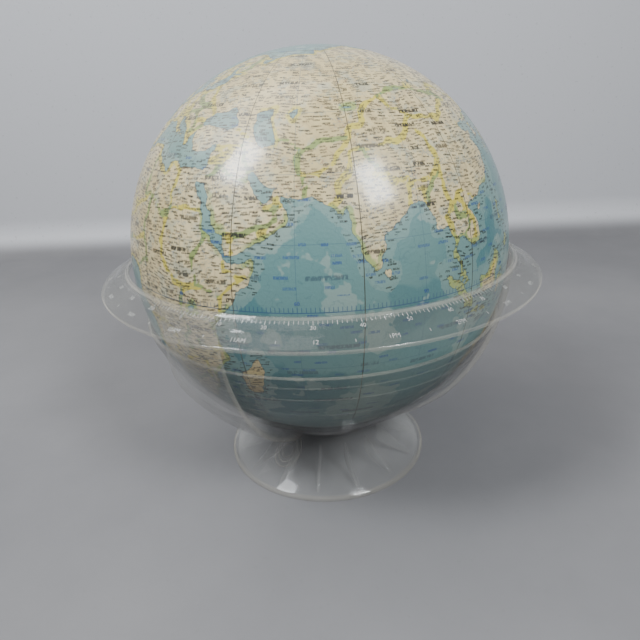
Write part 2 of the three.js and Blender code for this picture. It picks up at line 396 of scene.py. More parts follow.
    # The sheets' darkened edges, yellowing, and the varnish
    edge = g.ramp(seam, 0.02, 0.24, 1.0, 0.0)
    colour = g.cover(colour, edge, 0.75, (0.1, 0.075, 0.045))
    age = g.ramp(g.noise(6, 3.0), 0.35, 0.75)
    colour = g.cover(colour, age, 0.14, (0.5, 0.38, 0.15))
    g.set(Base_Color=colour, Roughness=0.42, Coat_Weight=0.7, Coat_Roughness=0.16, Coat_IOR=1.5)
    varnish = g.add(g.noise(520, 3.0, 0.5), g.times(g.noise(90, 3.0), 0.8))
    g.bump(varnish, 0.45, 0.0004)
    return g.material


# ---------------------------------------------------------------- the map's outlines

# Drawn as (longitude, latitude), to about a degree. map_fields roughens them.

LANDS = {
    "africa": [
        (-6, 35.8), (-2, 35.2), (3, 36.8), (10, 37.2), (11, 34), (15, 32.3), (19, 30.3), (20, 32.5),
        (23, 32.7), (25.5, 31.6), (30, 31.4), (32.7, 31.2), (32.6, 29.8), (33.6, 27.6), (35.5, 24),
        (37.2, 21), (37.4, 18.5), (39.5, 15.5), (42.5, 12.8), (43.3, 11.5), (45, 10.5), (51.2, 12),
        (51, 10.2), (48, 5), (44, 1.2), (41.5, -2), (39.2, -5), (39.5, -9), (40.6, -14.5), (37, -17.8),
        (34.8, -20), (35.5, -23.8), (32.8, -26), (31, -29.6), (27, -33.5), (22, -34.2), (18.5, -34.2),
        (18, -31), (15.3, -26.5), (13, -20), (12, -15), (13.7, -10.5), (12.2, -5.5), (9, -1), (9.5, 3.5),
        (8.5, 4.6), (5, 5.6), (2, 6.3), (-2, 4.9), (-7.7, 4.5), (-11.5, 6.8), (-13.5, 9.5), (-16.8, 12.5),
        (-17.4, 14.7), (-16.2, 19), (-17, 21.5), (-14, 26), (-10, 29.5), (-9.7, 31.5), (-6.8, 34),
    ],
    "eurasia": [
        (32.4, 31.1), (34.3, 31.4), (35, 33), (36, 36.6), (32, 36), (30, 36.4), (27.5, 36.8),
        (26.3, 39.5), (26, 40.8), (23, 40.3), (24, 38), (22.5, 36.5), (21, 38.5), (19.4, 41), (19, 42.3),
        (15, 44.5), (13.6, 45.6), (12.4, 44.5), (14, 42.3), (18.3, 40), (16.8, 40.4), (16, 38),
        (15.7, 40), (12.5, 41.6), (10.3, 43.5), (8.5, 44.3), (6, 43.1), (3, 43.1), (3, 41.8), (0, 39.8),
        (-0.5, 38), (-2, 36.8), (-5.5, 36.1), (-9, 37), (-9.4, 39), (-8.8, 43.2), (-2, 43.4), (-1.3, 45),
        (-2.5, 47.3), (-4.7, 48.4), (-1.5, 49.3), (2, 51), (5, 53.3), (8.5, 54), (8.3, 57), (10.5, 57.5),
        (10.5, 55), (11, 54), (14, 54), (19, 54.5), (21.2, 56), (24, 57.2), (23.5, 59.2), (30, 59.8),
        (25, 60.3), (21.5, 61), (21.5, 63), (25, 65.2), (22, 65.8), (17.5, 62), (18.8, 60), (16.5, 57),
        (14.3, 55.5), (12.8, 55.6), (11, 59), (7, 58), (5, 60), (5.5, 62.3), (10.5, 64.5), (14, 68),
        (20, 70), (26, 71.1), (31, 70.3), (41, 67.5), (40, 66.2), (33, 66.8), (35, 64.3), (38, 64),
        (40, 65), (44, 66.3), (44, 68.3), (54, 68.5), (60, 69), (66, 69), (67, 72), (70, 73), (73, 71.5),
        (75, 72.5), (80, 73.3), (87, 75), (98, 76), (104, 77.7), (113, 75.8), (108, 73.5), (127, 73),
        (140, 72.5), (160, 70), (170, 69.8), (180, 68.8), (190, 66.3), (187, 64.5), (180, 62.5),
        (172, 61), (163, 59.8), (162, 56.5), (157, 51), (155.7, 56.5), (163, 61.8), (155, 59.3),
        (143, 59.3), (137.5, 54), (141, 53), (140, 48), (135, 43.5), (131, 42.7), (129.5, 41),
        (127.5, 39.5), (129.4, 36), (126.5, 34.5), (126.5, 37.5), (124.7, 39.8), (121.5, 39),
        (121.8, 40.7), (118, 39), (119, 37.3), (122.5, 37.2), (119.5, 35), (121.8, 31.5), (121.5, 28.5),
        (118.5, 24.7), (114, 22.3), (110.5, 21.2), (108.3, 21.6), (106, 19), (108.8, 15.5), (109.3, 12),
        (106.8, 10.3), (105, 8.7), (105, 10.4), (102.5, 12.2), (100.8, 13.4), (99.5, 10), (100.5, 7.2),
        (103.4, 4.5), (104.2, 1.4), (103.4, 1.4), (101, 3), (100.3, 5.8), (98.4, 8), (98.6, 12),
        (97.7, 16.3), (94.5, 16), (94.3, 18.5), (92, 21.5), (90.5, 22.3), (87, 21.4), (85.2, 19.8),
        (82.3, 16.7), (80.2, 15.5), (80, 12.5), (79.8, 10.3), (78.2, 8.6), (77.5, 8.1), (76.3, 10),
        (74.8, 13), (73.3, 17), (72.8, 20), (72.6, 21.8), (71, 20.8), (69, 22.3), (67, 24.8), (62, 25.2),
        (57.3, 25.6), (56.5, 27.1), (54, 26.6), (51.5, 28), (50, 30.1), (48, 30), (48.3, 28.5),
        (50.1, 26.5), (50.7, 25), (51.4, 26), (51.6, 24.3), (54, 24.2), (56.2, 26.2), (56.5, 24.5),
        (59.7, 22.5), (57.8, 19), (55, 17), (52.2, 15.6), (45, 12.8), (43.4, 12.7), (42.7, 16.5),
        (39.2, 20.5), (37.2, 24.8), (35, 28), (34.2, 27.8), (32.5, 29.8),
    ],
    "britain": [
        (-5.5, 50.1), (1.4, 51.2), (0.3, 53), (-2, 55.8), (-2, 57.6), (-4.5, 58.6), (-6, 56.5), (-3, 54),
        (-4.5, 52),
    ],
    "ireland": [(-10, 52), (-6.3, 52.2), (-6, 54.5), (-8, 55.2), (-10, 54)],
    "iceland": [(-24, 65.5), (-22, 64), (-18.5, 63.4), (-14, 65), (-16, 66.4), (-22, 66.3)],
    "ceylon": [(79.8, 8), (80, 6.2), (81.2, 6.3), (81.8, 7.8), (80.3, 9.7)],
    "madagascar": [
        (49.3, -12), (50.4, -15.5), (47.2, -24.8), (45, -25.5), (43.3, -22.5), (44.4, -20), (44.3, -16.5),
        (47.5, -14.8),
    ],
    "sumatra": [
        (95.3, 5.6), (98, 4), (100.4, 2.5), (103.8, -1), (106, -3.2), (105.8, -5.8), (103, -4.5),
        (100.5, -1.5), (98.5, 1.8),
    ],
    "java": [(105.3, -6.6), (108.5, -6.7), (112.5, -6.9), (114.5, -8), (110, -8.2), (106, -7.4)],
    "borneo": [
        (109, 1.5), (111.3, 2.5), (113.5, 3.5), (116.8, 7), (119, 5.2), (117.8, 1), (116.3, -4),
        (114.5, -4), (110.2, -2.5), (109.2, -0.3),
    ],
    "celebes": [
        (119.5, -5.5), (119.5, -1), (120.8, 1.2), (125, 1.5), (120.5, 0.3), (121, -1), (123.3, -1),
        (122, -3), (122.6, -5.3), (121, -3.2), (120.4, -5.5),
    ],
    "new_guinea": [
        (131, -0.8), (134, -0.9), (135, -3.3), (138, -1.7), (144.5, -3.8), (147.8, -6), (150.7, -10.4),
        (147, -9.5), (143, -9), (138.5, -8.2), (137.8, -5.3), (133, -4),
    ],
    "luzon": [(120.3, 16), (120.6, 18.5), (122.2, 18.4), (121.6, 15.8), (124, 12.7), (120.7, 13.8)],
    "mindanao": [(122, 7), (125.6, 9.7), (126.4, 7.5), (125.3, 5.8)],
    "taiwan": [(120.2, 23), (121.5, 25.2), (121, 22.2)],
    "hainan": [(108.7, 19.2), (110.8, 20), (110, 18.4)],
    "honshu": [
        (131, 34.2), (133, 35.5), (136.8, 37.2), (139.5, 38.5), (140.3, 41.2), (141.9, 39.5),
        (140.9, 36.8), (139.8, 35), (136.8, 34.5), (135.7, 33.5), (132.5, 34.1),
    ],
    "hokkaido": [(140.2, 41.6), (141.5, 45.4), (145.3, 43.3), (143, 42)],
    "kyushu": [(129.8, 33), (131.2, 33.9), (131.6, 32), (130.5, 31.2)],
    "sakhalin": [(142, 46), (142, 54), (143.3, 52), (144, 49)],
    "australia": [
        (114, -22), (113.7, -26), (115.5, -31.5), (115.2, -34.3), (118, -35), (123.5, -34), (129, -31.7),
        (132, -32), (135.5, -34.8), (137.8, -33), (138.2, -35.5), (140.5, -38), (144, -38.4),
        (147, -38.8), (150, -37.4), (151.5, -33), (153.3, -29), (153, -25.5), (150.5, -22.8),
        (146.3, -19), (145.3, -15), (142.5, -10.8), (141, -13.5), (141, -17), (138, -16.8), (135.7, -15),
        (136.7, -12.2), (132.5, -11.3), (130, -13), (129, -15), (126, -14), (122.3, -17.5), (119, -20),
    ],
    "tasmania": [(145, -41), (148.2, -41), (147.5, -43.5), (146, -43.3)],
    "new_zealand_north": [
        (173, -34.8), (175.5, -36.7), (178.4, -37.8), (177, -39.7), (175.2, -41.5), (174, -39.3),
        (174.8, -37.5),
    ],
    "new_zealand_south": [
        (172.8, -40.7), (174.2, -41.7), (171, -44.5), (170.5, -46), (168.3, -46.5), (166.7, -45.7),
        (171, -42.5),
    ],
    "north_america": [
        (-166, 68.3), (-156.5, 71.2), (-141, 69.8), (-128, 70), (-115, 68.3), (-96, 68), (-94, 71.5),
        (-85.5, 68), (-87, 64), (-94, 60), (-92.5, 57), (-82.5, 55.2), (-80, 51.5), (-79, 54),
        (-77.5, 58), (-78, 62.3), (-70, 61), (-65, 58.7), (-61, 56), (-56, 52.3), (-60, 50.2),
        (-66.5, 50.2), (-65, 48.5), (-61, 46), (-64.5, 44), (-67, 44.8), (-70.5, 43), (-70, 41.6),
        (-74, 40.5), (-76, 37), (-75.8, 35.2), (-81, 31.7), (-80, 27), (-80.4, 25.2), (-82.5, 28),
        (-84, 30), (-89.3, 29.3), (-94.5, 29.4), (-97.3, 27.5), (-97.8, 22.3), (-95.8, 18.6),
        (-91.5, 18.6), (-90.4, 21), (-87, 21.5), (-88.3, 16.5), (-83.4, 15), (-83.7, 11), (-80, 9.2),
        (-77.4, 8.6), (-80.3, 7.6), (-83, 8.3), (-85.7, 10), (-87.5, 13), (-92.3, 14.6), (-96.5, 15.7),
        (-102, 18), (-105.5, 20.3), (-109.3, 25.7), (-113, 31.2), (-114.7, 31.7), (-111, 26),
        (-109.7, 23), (-112.3, 26), (-115, 28.5), (-117.2, 32.6), (-120.6, 34.6), (-124.2, 40),
        (-124, 46.5), (-123, 49), (-127.5, 51), (-130.3, 54.6), (-134.5, 58.5), (-140, 59.8), (-147, 61),
        (-152, 59.3), (-158, 56.2), (-164.5, 54.6), (-158, 58.5), (-162, 59), (-165.5, 61.5), (-161, 64),
        (-168, 65.7), (-162, 66.5),
    ],
    "greenland": [
        (-73, 78), (-60, 82), (-32, 83.5), (-18, 80), (-22, 72), (-26, 68.5), (-40, 65), (-43.5, 60),
        (-50, 62.5), (-53.5, 67), (-54, 71), (-58, 75.5),
    ],
    "baffin": [
        (-62, 66.5), (-68, 63), (-77, 64.5), (-73, 67.5), (-88, 70.5), (-88, 73.5), (-80, 73.7),
        (-67, 69.5),
    ],
    "victoria": [(-117, 69.5), (-105, 69), (-105, 73), (-117, 73)],
    "ellesmere": [(-90, 76.5), (-78, 76.5), (-62, 82.5), (-85, 82), (-92, 80)],
    "cuba": [(-84.8, 21.9), (-80, 23.1), (-74.3, 20.2), (-77.5, 19.9)],
    "hispaniola": [(-74.3, 18.3), (-72.8, 19.9), (-68.5, 18.6), (-71.5, 17.8)],
    "newfoundland": [(-59, 47.7), (-55.5, 51.5), (-53, 47)],
    "south_america": [
        (-77.4, 8.6), (-75, 11), (-71.8, 12.3), (-62, 10.6), (-60, 8.5), (-52, 5), (-50, 1), (-48, -1),
        (-44, -2.6), (-40, -2.9), (-35.2, -5.3), (-35, -9), (-39, -13.5), (-39.2, -17.8), (-41, -22),
        (-44.5, -23.2), (-48.6, -26), (-50, -30), (-54, -34.5), (-58.3, -34), (-57, -36.5), (-62, -39),
        (-65, -41), (-63.7, -42.7), (-67.5, -46), (-65.8, -48), (-69, -51), (-65.3, -54.8), (-71, -54.5),
        (-74.5, -51), (-75.5, -46.7), (-73, -42), (-73.5, -37), (-71.5, -30), (-70.3, -18.5), (-76, -14),
        (-79, -8), (-81.2, -5), (-79.9, -2.5), (-80, 0.8), (-77.5, 4), (-77.8, 7),
    ],
    "antarctica": [
        (-180, -78), (-160, -78), (-130, -74.5), (-100, -72.5), (-75, -73), (-65, -66), (-57, -63.5),
        (-61, -70), (-60, -75), (-40, -78), (-20, -73), (0, -70), (30, -69.5), (55, -66), (70, -68.5),
        (90, -66.5), (110, -66), (135, -66), (160, -69.5), (168, -75), (165, -78), (180, -78),
        (180, -90.5), (-180, -90.5),
    ],
}

WATERS = {
    "black_sea": [
        (28, 42), (28.5, 44.5), (31, 46.6), (33.5, 45.9), (36, 45.3), (39, 47.2), (41.5, 42), (38, 41),
        (33, 42),
    ],
    "caspian": [
        (47, 45), (50, 46.8), (53, 46.8), (53, 45), (51, 44.5), (53, 41), (53.8, 37), (50, 37.3),
        (49, 40.3),
    ],
    "aral": [(58.3, 44.5), (60, 46.5), (61.5, 45.5), (59.5, 43.7)],
    "balkhash": [(74, 46), (78.5, 46.9), (78, 46.2), (74.5, 45.2)],
    "baikal": [(104, 51.6), (109.5, 54.5), (109.8, 55.7), (106, 53)],
    "victoria_lake": [(31.8, -1), (33.5, 0.3), (34, -1.8), (32.2, -2.6)],
    "great_lakes": [
        (-92, 46.8), (-88, 48.6), (-84.6, 46.7), (-81.5, 45.3), (-82.3, 43.2), (-85, 45.8), (-87.8, 42),
    ],
}

# Country borders. The first number is the border's colour, from 0, green, to 1, yellow.
BORDERS = [
    (1, (25, 31.6), (25, 22), (37, 22)),
    (0, (25, 22), (24, 19.5), (16, 23.5), (10, 24.5), (9.5, 30.2), (11.5, 33)),
    (1, (12, 23.5), (4.5, 19.5), (-5, 25), (-8.7, 27.5)),
    (1, (24, 19.5), (22.5, 14), (23, 10.8), (27.4, 5), (31, 3.8)), (1, (31, 3.8), (34, 4.6), (36, 4.5)),
    (0, (36, 4.5), (34, 7.5), (34.3, 11), (36.5, 14.3), (38.5, 18)),
    (1, (43, 11), (43, 9), (48, 8), (45, 5), (42, 4.2)), (0, (36, 4.5), (39.5, 3.6), (42, 4.2)),
    (1, (42, 4.2), (41, -1), (41.6, -1.7)), (0, (34, -1), (37.7, -3.5), (39.3, -4.8)),
    (1, (34.7, -11.5), (40.4, -10.5)),
    (0, (29, -12.5), (28.5, -9), (30.8, -8.3), (29.3, -4.5), (29.5, 1), (31, 3.8)),
    (1, (12.3, -6), (17, -8), (22, -7.5), (24, -11), (22, -16.5), (12, -17.3)),
    (0,
        (16.5, -28.6), (20, -28.5), (20, -24.8), (25.5, -25.7), (29.4, -22.2), (31.5, -22.4), (32, -26.8),
    ),
    (1, (20, -24.8), (20, -22), (21, -18.2)),
    (1, (25.3, -17.8), (29, -16), (33, -16.5), (32.8, -20), (31.3, -22.4)),
    (0, (33, -9.5), (33, -14), (30.3, -15.5)), (0, (13.5, 14), (14.5, 22.8)),
    (1, (3.6, 11.7), (13.5, 13.7)), (0, (-12, 15), (-8, 10.5), (-5.5, 10.5), (3.6, 11.7)),
    (1, (4, 19.3), (-5.5, 15.5), (-12, 15)), (0, (14, 13.7), (15.5, 8), (11.5, 6.5), (8.6, 4.9)),
    (0, (34.9, 29.4), (37.5, 30), (39, 32), (42, 31), (46.5, 29.1), (48.4, 28.6)),
    (0, (43, 17), (47, 17), (52, 19), (55, 20), (55.5, 22.5), (52, 23), (51.5, 24.2)),
    (1, (52, 19), (53, 16.7)), (1, (43, 16.8), (44, 17.4), (45.5, 13)),
    (1, (51.6, 24.1), (55.2, 22.7), (56, 24.8), (58, 23.5)),
    (0, (44.7, 37.2), (46, 35), (46, 33), (48.4, 30)),
    (1, (42.3, 37.1), (41, 34.3), (38.8, 33.4), (35.8, 32.7)),
    (1, (36.2, 36), (42.3, 37.1), (44.7, 37.2)),
    (1, (41.5, 41.5), (43.5, 41), (44.7, 39.7), (48.5, 38.5)),
    (0, (53.9, 37.3), (57, 38.2), (61.2, 35.6)),
    (0, (61.2, 35.6), (60.6, 33), (61, 29.8), (63.2, 27.2), (61.6, 25.2)),
    (0, (61.2, 35.6), (66.5, 37.4), (71, 38), (74.8, 37.3)),
    (1, (61, 29.8), (66.3, 29.8), (69.3, 32), (71, 34.3), (74, 36.8)),
    (1, (68.5, 23.8), (71, 24.6), (70.3, 27.8), (73.5, 30), (74.5, 32.5), (74, 34.5), (77, 35.5)),
    (0, (77, 35.5), (79, 32.5), (81, 30.3)), (1, (81, 30.3), (84.5, 28.5), (88, 27.9)),
    (1, (80.1, 28.8), (84, 27.3), (88, 26.5)), (1, (88.8, 27.3), (92, 27), (97, 28.3)),
    (1, (88.1, 21.8), (88.5, 24.5), (88.4, 26.2), (92, 25.1), (92.3, 23.6), (92.3, 21)),
    (0, (92.6, 21.5), (93.3, 24), (97, 28.2)),
    (1, (97.4, 28.2), (98.7, 25.8), (97.7, 24), (99.2, 22.1), (101.2, 21.2)),
    (1, (101.2, 21.2), (97.8, 18.5), (98.7, 15.5), (99.2, 11.5)),
    (0,
        (101.2, 21.2), (100.5, 20), (101.2, 17.8), (104.7, 17.4), (105.5, 14.6), (102.4, 13.5),
        (102.9, 11.8),
    ),
    (1, (102.2, 22.4), (104.5, 20), (107.4, 15.5), (107.5, 12.5), (106, 11)),
    (1, (102.2, 22.4), (105.5, 23.2), (108, 21.6)), (1, (100.2, 6.5), (102, 6)),
    (1, (109.6, 1.9), (113, 1.4), (115.5, 3), (117.6, 4.2)),
    (1, (74.8, 37.3), (73.8, 39.5), (80.2, 42), (80.5, 45), (83, 47.2), (87.5, 49.1)),
    (1, (87.8, 49.1), (90.9, 46), (96, 42.7), (105, 41.6), (111.5, 43.4), (116, 46.5), (119.9, 46.7)),
    (0,
        (87.8, 49.1), (92.5, 50.8), (98.3, 52), (102.3, 51.3), (106.5, 50.3), (113, 49.6), (116.7, 49.9),
        (119.9, 46.7),
    ),
    (1, (116.7, 49.9), (120.8, 53.2), (127, 49.8), (131, 47.7), (134.8, 48.3), (131, 43)),
    (0, (124.5, 40), (128, 42), (130.6, 42.4)), (1, (126.7, 37.9), (128.3, 38.5)),
    (1, (78, 35.5), (84, 36.3), (91, 37), (94, 42.5)), (1, (96, 38.5), (99, 33.5), (98.8, 28)),
    (1, (30, 45.3), (28, 48.2), (23.5, 51), (23, 54.3), (21, 55.3)),
    (0, (29, 69.6), (30, 65), (31.5, 62.8), (27.8, 60.6)),
    (1, (12, 59), (12, 63.5), (16, 68), (20.5, 69)),
    (0, (14.3, 53.8), (15, 51), (18.8, 49.5), (22.5, 49.1)),
    (1, (6.2, 53.3), (6, 50.8), (8.2, 49), (7.6, 47.6), (13, 47.7), (12.2, 50.3), (11, 54)),
    (1, (2.5, 51), (6, 49.5), (7.6, 47.6), (7, 44)), (1, (-1.7, 43.4), (3, 42.4)),
    (1, (7, 44), (7.5, 46), (13.6, 46.5)),
    (0, (13.6, 45.6), (16.5, 46.3), (21, 46.1), (22.6, 44.3), (22.5, 42), (19.5, 41)),
    (0, (21, 46.1), (22.9, 48), (28, 48.2)), (1, (22.6, 44.2), (28.5, 43.8)),
    (0, (22.5, 41.3), (26, 41.8), (28, 42)),
    (1,
        (-123, 49), (-95, 49), (-88, 48), (-83, 46), (-82.5, 42.3), (-79, 43.4), (-75, 45), (-71, 45.2),
        (-67.5, 47), (-67, 45),
    ),
    (0, (-117, 32.5), (-111, 31.3), (-106.5, 31.8), (-101.5, 29.8), (-97.2, 26)),
    (1, (-141, 69.7), (-141, 60.3), (-130, 55.5)), (0, (-92.2, 14.6), (-90.5, 16), (-89.2, 17.8)),
    (1, (-71.5, 12), (-72.5, 8), (-67.5, 6), (-67, 1.2)),
    (0,
        (-67, 1.2), (-70, -4.2), (-73, -7.3), (-69.5, -11), (-65.3, -9.8), (-60, -14), (-58, -20),
        (-54.3, -24),
    ),
    (0, (-54.3, -24), (-53.6, -27), (-57.5, -30.2), (-53.5, -33.7)), (0, (-67, 1.2), (-60, 5), (-52, 4)),
    (1, (-80.3, -3.4), (-75.2, -0.1), (-70, -4.2)),
    (1, (-69.5, -11), (-69, -17.5), (-66, -22), (-58.2, -20)),
    (1, (-68, -21.5), (-70, -28), (-70, -36), (-71.5, -45), (-72.5, -51), (-68.5, -52.3)),
    (1, (129, -15), (129, -31.7)), (1, (138, -16.6), (138, -26), (141, -26), (141, -38)),
    (0, (129, -26), (138, -26)), (1, (141, -29), (149, -29), (153, -28.3)), (1, (141, -2.7), (141, -9.1)),
]


def on_sphere(longitude, latitude):
    """Unit vectors. Longitude 0 points along X."""
    lon, lat = np.radians(longitude), np.radians(latitude)
    return np.stack([np.cos(lat) * np.cos(lon), np.cos(lat) * np.sin(lon), np.sin(lat)], -1)


def distance_to_line(points, line):
    """Degrees from each point to a line of (longitude, latitude) points."""
    corners = on_sphere(*np.array(line, float).T)
    best = np.full(len(points), 9.0)
    for start, end in zip(corners[:-1], corners[1:]):
        along = end - start
        share = np.clip((points - start) @ along / (along @ along), 0, 1)
        best = np.minimum(best, np.linalg.norm(points - start - share[:, None] * along, axis=1))
    return np.degrees(best)


def inside(longitude, latitude, outline):
    """True for the places within a closed outline, which may run past 180 degrees."""
    corners = np.array(outline, float)
    found = np.zeros(len(longitude), bool)
    for turn in (-360, 0, 360):
        lon = longitude + turn
        for (x0, y0), (x1, y1) in zip(corners, np.roll(corners, -1, 0)):
            crosses = (y0 > latitude) != (y1 > latitude)
            level = (latitude - y0) / (y1 - y0 if y1 != y0 else 1e-9)
            found ^= crosses & (lon < x0 + level * (x1 - x0))
    return found


def signed_distance(longitude, latitude, points, outline):
    """Degrees to the outline, positive inside it."""
    distance = distance_to_line(points, outline + outline[:1])
    return np.where(inside(longitude, latitude, outline), distance, -distance)


def wrinkle(points):
    """A smooth wobble of the surface, in degrees, that breaks up the outlines' straight stretches."""
    rng = np.random.RandomState(11)
    total = np.zeros((len(points), 2))
    for wavelength, size in ((7.0, 0.30), (3.6, 0.22)):
        for _ in range(7):
            direction = rng.normal(size=3)
            direction *= 360 / wavelength / np.linalg.norm(direction)
            phase = rng.uniform(0, 2 * math.pi, 2)
            total += size / 2 * np.sin((points @ direction)[:, None] + phase)
    return total


def map_fields(longitude, latitude):
    """For each place: degrees inside the coast, degrees to the nearest border, and that border's colour."""
    wobble = wrinkle(on_sphere(longitude, latitude))
    lat = np.clip(latitude + wobble[:, 1], -90, 90)
    lon = longitude + wobble[:, 0] / np.maximum(np.cos(np.radians(lat)), 0.2)
    lon = (lon + 180) % 360 - 180
    points = on_sphere(lon, lat)
    far = 60.0
    coast = np.full(len(lon), -far)
    for outline in LANDS.values():
        coast = np.maximum(coast, signed_distance(lon, lat, points, outline))
    for outline in WATERS.values():
        coast = np.minimum(coast, -signed_distance(lon, lat, points, outline))
    border = np.full(len(lon), far)
    tint = np.zeros(len(lon))
    for colour, *line in BORDERS:
        distance = distance_to_line(points, line)
        tint = np.where(distance < border, colour, tint)
        border = np.minimum(border, distance)
    return coast, border, tint


# ---------------------------------------------------------------- mesh helpers

def place_on_ball(longitude, latitude, distance):
    """Points at a distance from the ball's centre. The front longitude faces -Y."""
    azimuth = np.radians(longitude - FRONT_LONGITUDE)
    lat = np.radians(latitude)
    return np.stack([
        distance * np.cos(lat) * np.sin(azimuth),
        -distance * np.cos(lat) * np.cos(azimuth),
        CENTRE_Z + distance * np.sin(lat),
    ], -1)


def store(mesh, name, values):
    """Keeps three numbers for each vertex, where a material can read them."""
    attribute = mesh.attributes.new(name, "FLOAT_VECTOR", "POINT")
    attribute.data.foreach_set("vector", np.ascontiguousarray(values, np.float32).ravel())


def sheet_piece(name, longitudes, latitudes, node, seam_to):
    """A thin printed sheet over a block of longitudes and latitudes, as a closed solid with map attributes.
    seam_to gives the millimetres from each place to the sheet's nearest edge."""
    lon, lat = (a.ravel() for a in np.meshgrid(longitudes, latitudes))
    columns, rows = len(longitudes), len(latitudes)
    count = columns * rows
    points = np.concatenate([place_on_ball(lon, lat, RADIUS), place_on_ball(lon, lat, RADIUS - PAPER)])
    faces = []
    for r in range(rows - 1):
        for c in range(columns - 1):
            a = r * columns + c
            b, d, e = a + 1, a + columns, a + columns + 1
            faces.append((a, b, e, d))
            faces.append((count + a, count + d, count + e, count + b))
    rim = list(range(columns))
    rim += [r * columns + columns - 1 for r in range(1, rows)]
    rim += [(rows - 1) * columns + c for c in range(columns - 2, -1, -1)]
    rim += [r * columns for r in range(rows - 2, 0, -1)]
    for a, b in zip(rim, rim[1:] + rim[:1]):
        faces.append((b, a, count + a, count + b))
    obj = new_mesh_object(name, points, faces)
    obj.data.shade_smooth()
    fields = np.stack(map_fields(lon, lat), -1)
    place = np.stack([lon, lat, seam_to(lon, lat)], -1)
    store(obj.data, "place", np.concatenate([place, place]))
    store(obj.data, "fields", np.concatenate([fields, fields]))
    obj.data.materials.append(MAP)
    obj.data.set_sharp_from_angle(angle=SHARP_PAPER)
    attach(obj, "ball")
    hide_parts(node)


def make_gores():
    latitudes = np.arange(-DISC_LATITUDE, DISC_LATITUDE + GRID_STEP / 2, GRID_STEP)
    half_gap = math.degrees(GAP / 2 / RADIUS)
    for i in range(GORE_COUNT):
        west = FIRST_SEAM + i * GORE_WIDTH + half_gap
        east = west + GORE_WIDTH - 2 * half_gap
        longitudes = np.linspace(west, east, int(GORE_WIDTH / GRID_STEP) + 1)

        def seam_to(lon, lat, west=west, east=east):
            across = np.radians(np.minimum(lon - west, east - lon)) * RADIUS * np.cos(np.radians(lat))
            ends = np.radians(DISC_LATITUDE - np.abs(lat)) * RADIUS
            return np.minimum(across, ends) / MM

        sheet_piece(f"gore_print_{i + 1:02d}", longitudes, latitudes, f"map_gore_{i + 1:02d}", seam_to)


def make_polar_discs():
    """Full turns, whose two ends meet at the back, around a pinhole at the pole."""
    start = DISC_LATITUDE + math.degrees(GAP / RADIUS)
    pinhole = 0.04  # radius in degrees

    def seam_to(lon, lat):
        return np.radians(np.abs(lat) - start) * RADIUS / MM

    half_turn, columns, rows = 179.99, 181, 19
    longitudes = np.linspace(-half_turn, half_turn, columns)
    for side, label in ((1, "north"), (-1, "south")):
        latitudes = np.sort(side * np.linspace(start, 90 - pinhole, rows))
        sheet_piece(f"{label}_disc_print", longitudes, latitudes, f"{label}_polar_disc", seam_to)


def rounded(outline, radius):
    """The closed outline with each corner turned into a short arc."""
    steps, most = 3, 0.4  # an arc takes at most this share of the sides next to it
    result = []
    count = len(outline)
    for i in range(count):
        before, corner, after = (np.array(outline[(i + k) % count], float) for k in (-1, 0, 1))
        back, on = before - corner, after - corner
        reach = min(radius, most * np.linalg.norm(back), most * np.linalg.norm(on))
        first = corner + back / np.linalg.norm(back) * reach
        last = corner + on / np.linalg.norm(on) * reach
        for k in range(steps + 1):
            t = k / steps
            result.append(tuple((1 - t) ** 2 * first + 2 * t * (1 - t) * corner + t * t * last))
    return result


def finish_clear(obj, node, material, is_edge=None):
    """Shades a clear piece; its narrow edges get the edge material, a painted highlight of gathered light."""
    mesh = bmesh.new()
    mesh.from_mesh(obj.data)
    bmesh.ops.recalc_face_normals(mesh, faces=mesh.faces)
    for face in mesh.faces:
        middle = face.calc_center_median()
        face.material_index = 1 if is_edge and is_edge(middle, face.normal) else 0
    mesh.to_mesh(obj.data)
    mesh.free()
    obj.data.shade_smooth()
    obj.data.set_sharp_from_angle(angle=SHARP_PLASTIC)
    obj.data.materials.append(material)
    if is_edge:
        obj.data.materials.append(CLEAR_EDGE_HIGHLIGHT)
    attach(obj, "stand")
    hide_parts(node)


def facing(normal, direction):
    """1 where a face looks along the direction or against it, 0 where it runs along the direction."""
    return abs(normal.dot(direction.normalized()))


def arm_edge(middle, normal):
    """True where a face runs through the arm's wall, not along it."""
    return facing(normal, middle - CENTRE) < 0.8


def cup_edge(middle, normal):
    """True on the cup's rim and on the flanks of its raised lines."""
    return facing(normal, middle - CENTRE) < 0.93


def brim_edge(middle, normal):
    """True on the brim's rim and lip. Its broad faces slope down and out at a half."""
    outward = Vector((middle.x, middle.y, 0)).normalized()
    return facing(normal, 0.45 * outward + Vector((0, 0, 0.9))) < 0.93


def foot_edge(middle, normal):
    """True on the foot's rim."""
    return Vector((middle.x, middle.y)).length > FOOT_EDGE_RADIUS * MM


def around(radius, turn, height):
    """The point in metres at an azimuth in radians, a radius and a height."""
    return radius * MM * math.sin(turn), -radius * MM * math.cos(turn), height * MM


def turned(name, outline, node, material, is_edge=None):
    """A ring, or a disc when the outline starts and ends on the axis, from (radius, height) points."""
    rows, vertices = [], []
    for radius, height in outline:
        if radius < ON_AXIS:
            rows.append([len(vertices)] * TURN_STEPS)
            vertices.append((0, 0, height * MM))
            continue
        rows.append(list(range(len(vertices), len(vertices) + TURN_STEPS)))
        vertices += [around(radius, 2 * math.pi * k / TURN_STEPS, height) for k in range(TURN_STEPS)]
    closed = outline[0][0] > ON_AXIS
    faces = []
    for a, b in zip(rows, rows[1:] + (rows[:1] if closed else [])):
        for k in range(TURN_STEPS):
            ring = [a[k], a[(k + 1) % TURN_STEPS], b[(k + 1) % TURN_STEPS], b[k]]
            corners = list(dict.fromkeys(ring))
            if len(corners) > 2:
                faces.append(corners)
    finish_clear(new_mesh_object(name, vertices, faces), node, material, is_edge)


